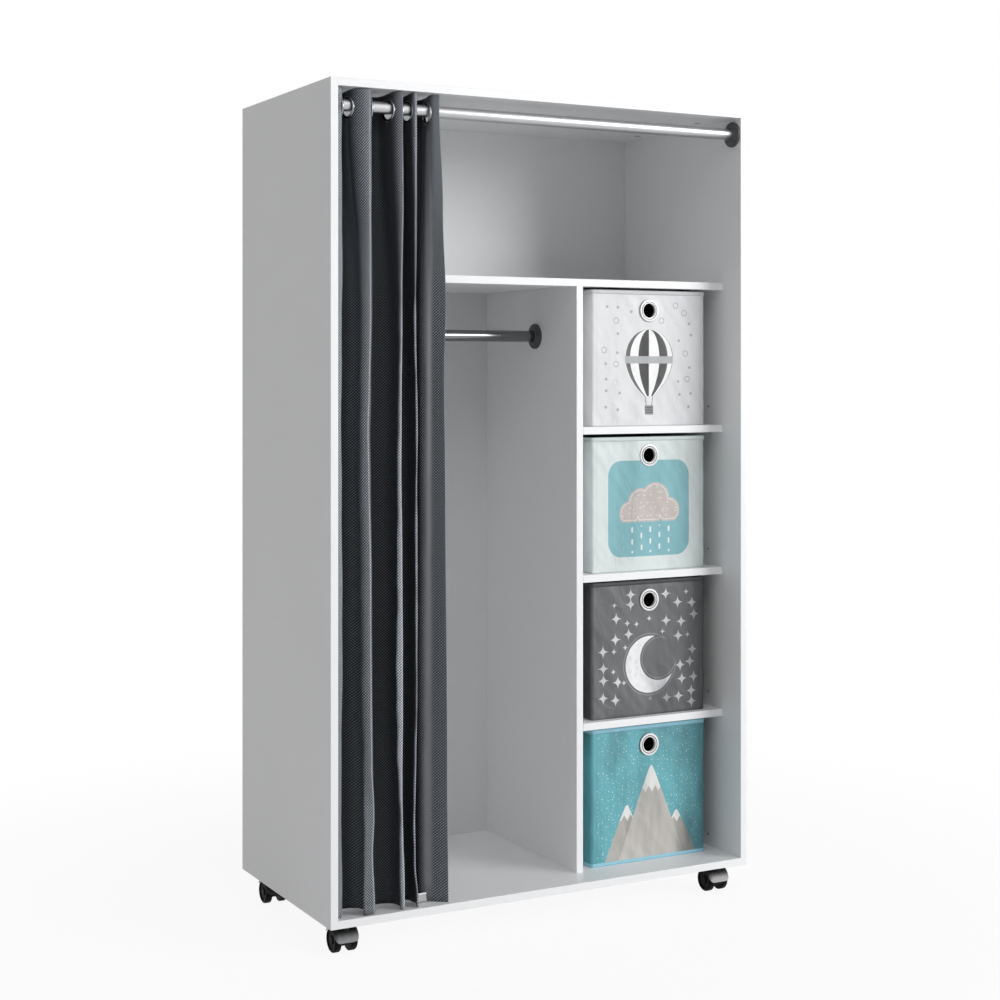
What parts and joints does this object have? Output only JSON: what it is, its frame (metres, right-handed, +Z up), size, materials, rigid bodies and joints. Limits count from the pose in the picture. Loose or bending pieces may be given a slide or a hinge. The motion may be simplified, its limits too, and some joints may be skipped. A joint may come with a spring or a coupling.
{
  "type": "children's storage wardrobe",
  "caption": "Open children's wardrobe on castors with a hanging space, an upper shelf, a column of bays with fabric boxes and an eyelet curtain.",
  "frame": {"origin": "on the floor, under the middle of the carcass", "axes": "+Z up; the open front faces -Y; +X to the right as seen from the front, towards the boxes"},
  "size_m": [1, 0.498, 1.739],
  "materials": {
    "white_melamine": "satin white melamine on chipboard",
    "white_hardboard": "white lacquered hardboard",
    "zinc_steel": "bright zinc plated steel",
    "zinc_diecast": "dull zinc die casting",
    "beech": "plain beech",
    "rod_steel": "satin chrome plated steel tube",
    "flange_grey": "dark grey moulded plastic",
    "black_steel": "black lacquered steel",
    "castor_hood_plastic": "dark grey moulded plastic",
    "castor_wheel_plastic": "black moulded plastic",
    "charcoal_cloth": "charcoal basket weave with a blue grey sheen",
    "eyelet_metal": "polished metal",
    "white_box_fabric": "printed polyester, white and light grey",
    "mint_box_fabric": "printed polyester, pale mint and teal",
    "charcoal_box_fabric": "printed polyester, charcoal and white",
    "teal_box_fabric": "printed polyester, teal, beige and white",
    "grey_board": "grey pressed board",
    "white_ring_plastic": "white gloss plastic"
  },
  "bodies": {
    "root": {"left_side_panel": "white_melamine", "right_side_panel": "white_melamine", "top_panel": "white_melamine", "bottom_panel": "white_melamine", "back_panel": "white_hardboard", "upper_shelf": "white_melamine", "centre_divider": "white_melamine", "box_shelf_1": "white_melamine", "box_shelf_2": "white_melamine", "box_shelf_3": "white_melamine", "shelf_pins": "zinc_steel", "cam_locks": "zinc_diecast", "cam_bolts": "zinc_steel", "wood_dowels": "beech", "curtain_rod": "rod_steel", "curtain_rod_flanges": "flange_grey", "clothes_rod": "rod_steel", "clothes_rod_flanges": "flange_grey", "flange_screws": "zinc_steel", "castor_plates": "black_steel", "castor_stems": "zinc_steel", "castor_plate_screws": "zinc_steel"},
    "castor_front_left": {"castor_front_left_hood": "castor_hood_plastic", "castor_front_left_axle": "zinc_steel"},
    "castor_front_left_wheel_left": {"castor_front_left_wheel_left": "castor_wheel_plastic"},
    "castor_front_left_wheel_right": {"castor_front_left_wheel_right": "castor_wheel_plastic"},
    "castor_front_right": {"castor_front_right_hood": "castor_hood_plastic", "castor_front_right_axle": "zinc_steel"},
    "castor_front_right_wheel_left": {"castor_front_right_wheel_left": "castor_wheel_plastic"},
    "castor_front_right_wheel_right": {"castor_front_right_wheel_right": "castor_wheel_plastic"},
    "castor_rear_left": {"castor_rear_left_hood": "castor_hood_plastic", "castor_rear_left_axle": "zinc_steel"},
    "castor_rear_left_wheel_left": {"castor_rear_left_wheel_left": "castor_wheel_plastic"},
    "castor_rear_left_wheel_right": {"castor_rear_left_wheel_right": "castor_wheel_plastic"},
    "castor_rear_right": {"castor_rear_right_hood": "castor_hood_plastic", "castor_rear_right_axle": "zinc_steel"},
    "castor_rear_right_wheel_left": {"castor_rear_right_wheel_left": "castor_wheel_plastic"},
    "castor_rear_right_wheel_right": {"castor_rear_right_wheel_right": "castor_wheel_plastic"},
    "curtain_1": {"curtain_cloth_1": "charcoal_cloth", "curtain_eyelets_1": "eyelet_metal"},
    "curtain_2": {"curtain_cloth_2": "charcoal_cloth", "curtain_eyelets_2": "eyelet_metal"},
    "curtain_3": {"curtain_cloth_3": "charcoal_cloth", "curtain_eyelets_3": "eyelet_metal"},
    "curtain_4": {"curtain_cloth_4": "charcoal_cloth", "curtain_eyelets_4": "eyelet_metal"},
    "curtain_5": {"curtain_cloth_5": "charcoal_cloth", "curtain_eyelets_5": "eyelet_metal"},
    "box_1": {"box_1_fabric": "white_box_fabric", "box_1_base_board": "grey_board", "box_1_ring_handle": "white_ring_plastic"},
    "box_2": {"box_2_fabric": "mint_box_fabric", "box_2_base_board": "grey_board", "box_2_ring_handle": "white_ring_plastic"},
    "box_3": {"box_3_fabric": "charcoal_box_fabric", "box_3_base_board": "grey_board", "box_3_ring_handle": "white_ring_plastic"},
    "box_4": {"box_4_fabric": "teal_box_fabric", "box_4_base_board": "grey_board", "box_4_ring_handle": "white_ring_plastic"}
  },
  "joints": [
    {"name": "castor_front_left_swivel", "type": "hinge", "parent": "root", "child": "castor_front_left", "pos_m": [-0.45, -0.204, 0.054], "axis": [0, 0, 1], "continuous": true},
    {"name": "castor_front_left_roll_left", "type": "hinge", "parent": "castor_front_left", "child": "castor_front_left_wheel_left", "pos_m": [-0.45, -0.189, 0.025], "axis": [1, 0, 0], "continuous": true},
    {"name": "castor_front_left_roll_right", "type": "hinge", "parent": "castor_front_left", "child": "castor_front_left_wheel_right", "pos_m": [-0.45, -0.189, 0.025], "axis": [1, 0, 0], "continuous": true},
    {"name": "castor_front_right_swivel", "type": "hinge", "parent": "root", "child": "castor_front_right", "pos_m": [0.45, -0.204, 0.054], "axis": [0, 0, 1], "continuous": true},
    {"name": "castor_front_right_roll_left", "type": "hinge", "parent": "castor_front_right", "child": "castor_front_right_wheel_left", "pos_m": [0.45, -0.189, 0.025], "axis": [1, 0, 0], "continuous": true},
    {"name": "castor_front_right_roll_right", "type": "hinge", "parent": "castor_front_right", "child": "castor_front_right_wheel_right", "pos_m": [0.45, -0.189, 0.025], "axis": [1, 0, 0], "continuous": true},
    {"name": "castor_rear_left_swivel", "type": "hinge", "parent": "root", "child": "castor_rear_left", "pos_m": [-0.45, 0.176, 0.054], "axis": [0, 0, 1], "continuous": true},
    {"name": "castor_rear_left_roll_left", "type": "hinge", "parent": "castor_rear_left", "child": "castor_rear_left_wheel_left", "pos_m": [-0.45, 0.191, 0.025], "axis": [1, 0, 0], "continuous": true},
    {"name": "castor_rear_left_roll_right", "type": "hinge", "parent": "castor_rear_left", "child": "castor_rear_left_wheel_right", "pos_m": [-0.45, 0.191, 0.025], "axis": [1, 0, 0], "continuous": true},
    {"name": "castor_rear_right_swivel", "type": "hinge", "parent": "root", "child": "castor_rear_right", "pos_m": [0.45, 0.176, 0.054], "axis": [0, 0, 1], "continuous": true},
    {"name": "castor_rear_right_roll_left", "type": "hinge", "parent": "castor_rear_right", "child": "castor_rear_right_wheel_left", "pos_m": [0.45, 0.191, 0.025], "axis": [1, 0, 0], "continuous": true},
    {"name": "castor_rear_right_roll_right", "type": "hinge", "parent": "castor_rear_right", "child": "castor_rear_right_wheel_right", "pos_m": [0.45, 0.191, 0.025], "axis": [1, 0, 0], "continuous": true},
    {"name": "curtain_slide", "type": "slide", "parent": "root", "child": "curtain_1", "axis": [1, 0, 0], "range_m": [0, 0.47]},
    {"name": "curtain_draw_2", "type": "slide", "parent": "curtain_1", "child": "curtain_2", "axis": [1, 0, 0], "range_m": [0, 0.042]},
    {"name": "curtain_draw_3", "type": "slide", "parent": "curtain_2", "child": "curtain_3", "axis": [1, 0, 0], "range_m": [0, 0.042]},
    {"name": "curtain_draw_4", "type": "slide", "parent": "curtain_3", "child": "curtain_4", "axis": [1, 0, 0], "range_m": [0, 0.042]},
    {"name": "curtain_draw_5", "type": "slide", "parent": "curtain_4", "child": "curtain_5", "axis": [1, 0, 0], "range_m": [0, 0.042]},
    {"name": "box_1_pull", "type": "slide", "parent": "root", "child": "box_1", "axis": [0, 1, 0], "range_m": [-0.3, 0]},
    {"name": "box_2_pull", "type": "slide", "parent": "root", "child": "box_2", "axis": [0, 1, 0], "range_m": [-0.3, 0]},
    {"name": "box_3_pull", "type": "slide", "parent": "root", "child": "box_3", "axis": [0, 1, 0], "range_m": [-0.3, 0]},
    {"name": "box_4_pull", "type": "slide", "parent": "root", "child": "box_4", "axis": [0, 1, 0], "range_m": [-0.3, 0]}
  ],
  "couplings": [
    {"joint": "curtain_draw_3", "follows": "curtain_draw_2", "ratio": 1},
    {"joint": "curtain_draw_4", "follows": "curtain_draw_2", "ratio": 1},
    {"joint": "curtain_draw_5", "follows": "curtain_draw_2", "ratio": 1}
  ]
}
